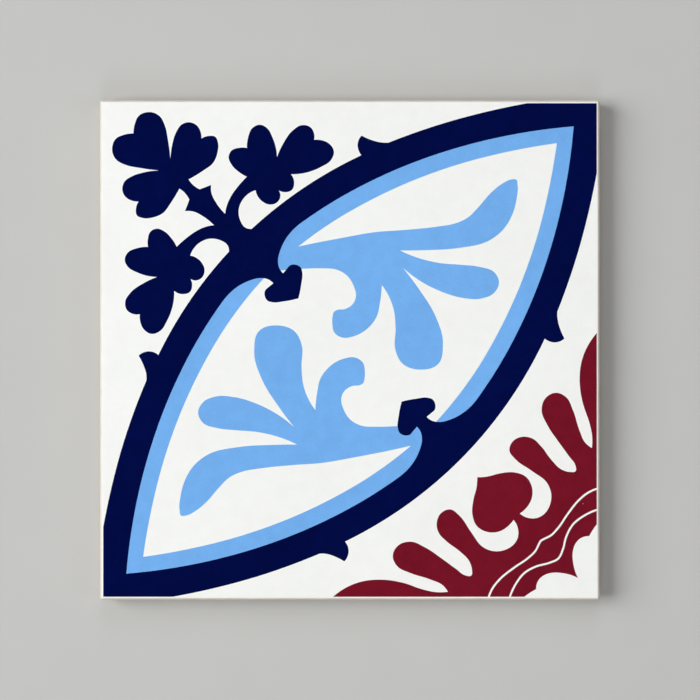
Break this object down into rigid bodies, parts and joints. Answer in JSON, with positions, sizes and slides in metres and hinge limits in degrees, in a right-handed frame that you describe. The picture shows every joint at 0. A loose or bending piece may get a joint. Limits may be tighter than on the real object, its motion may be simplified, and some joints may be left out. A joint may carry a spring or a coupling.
{
  "type": "floor tile",
  "caption": "Square glazed ceramic floor tile with a decorated flat face, softly rolled face edges, upright joint edges and a ribbed back that keys into adhesive.",
  "frame": {"origin": "centre of the back, on the plane of the ribs that the tile is bedded on", "axes": "+X and +Y along the tile's edges, +Z out of the decorated face"},
  "size_m": [0.2, 0.2, 0.009],
  "materials": {
    "glazed_stoneware": "satin glaze on the face and the upper edge, unglazed fired stoneware on the back and the lower edge"
  },
  "bodies": {
    "root": {"tile": "glazed_stoneware"}
  },
  "joints": []
}
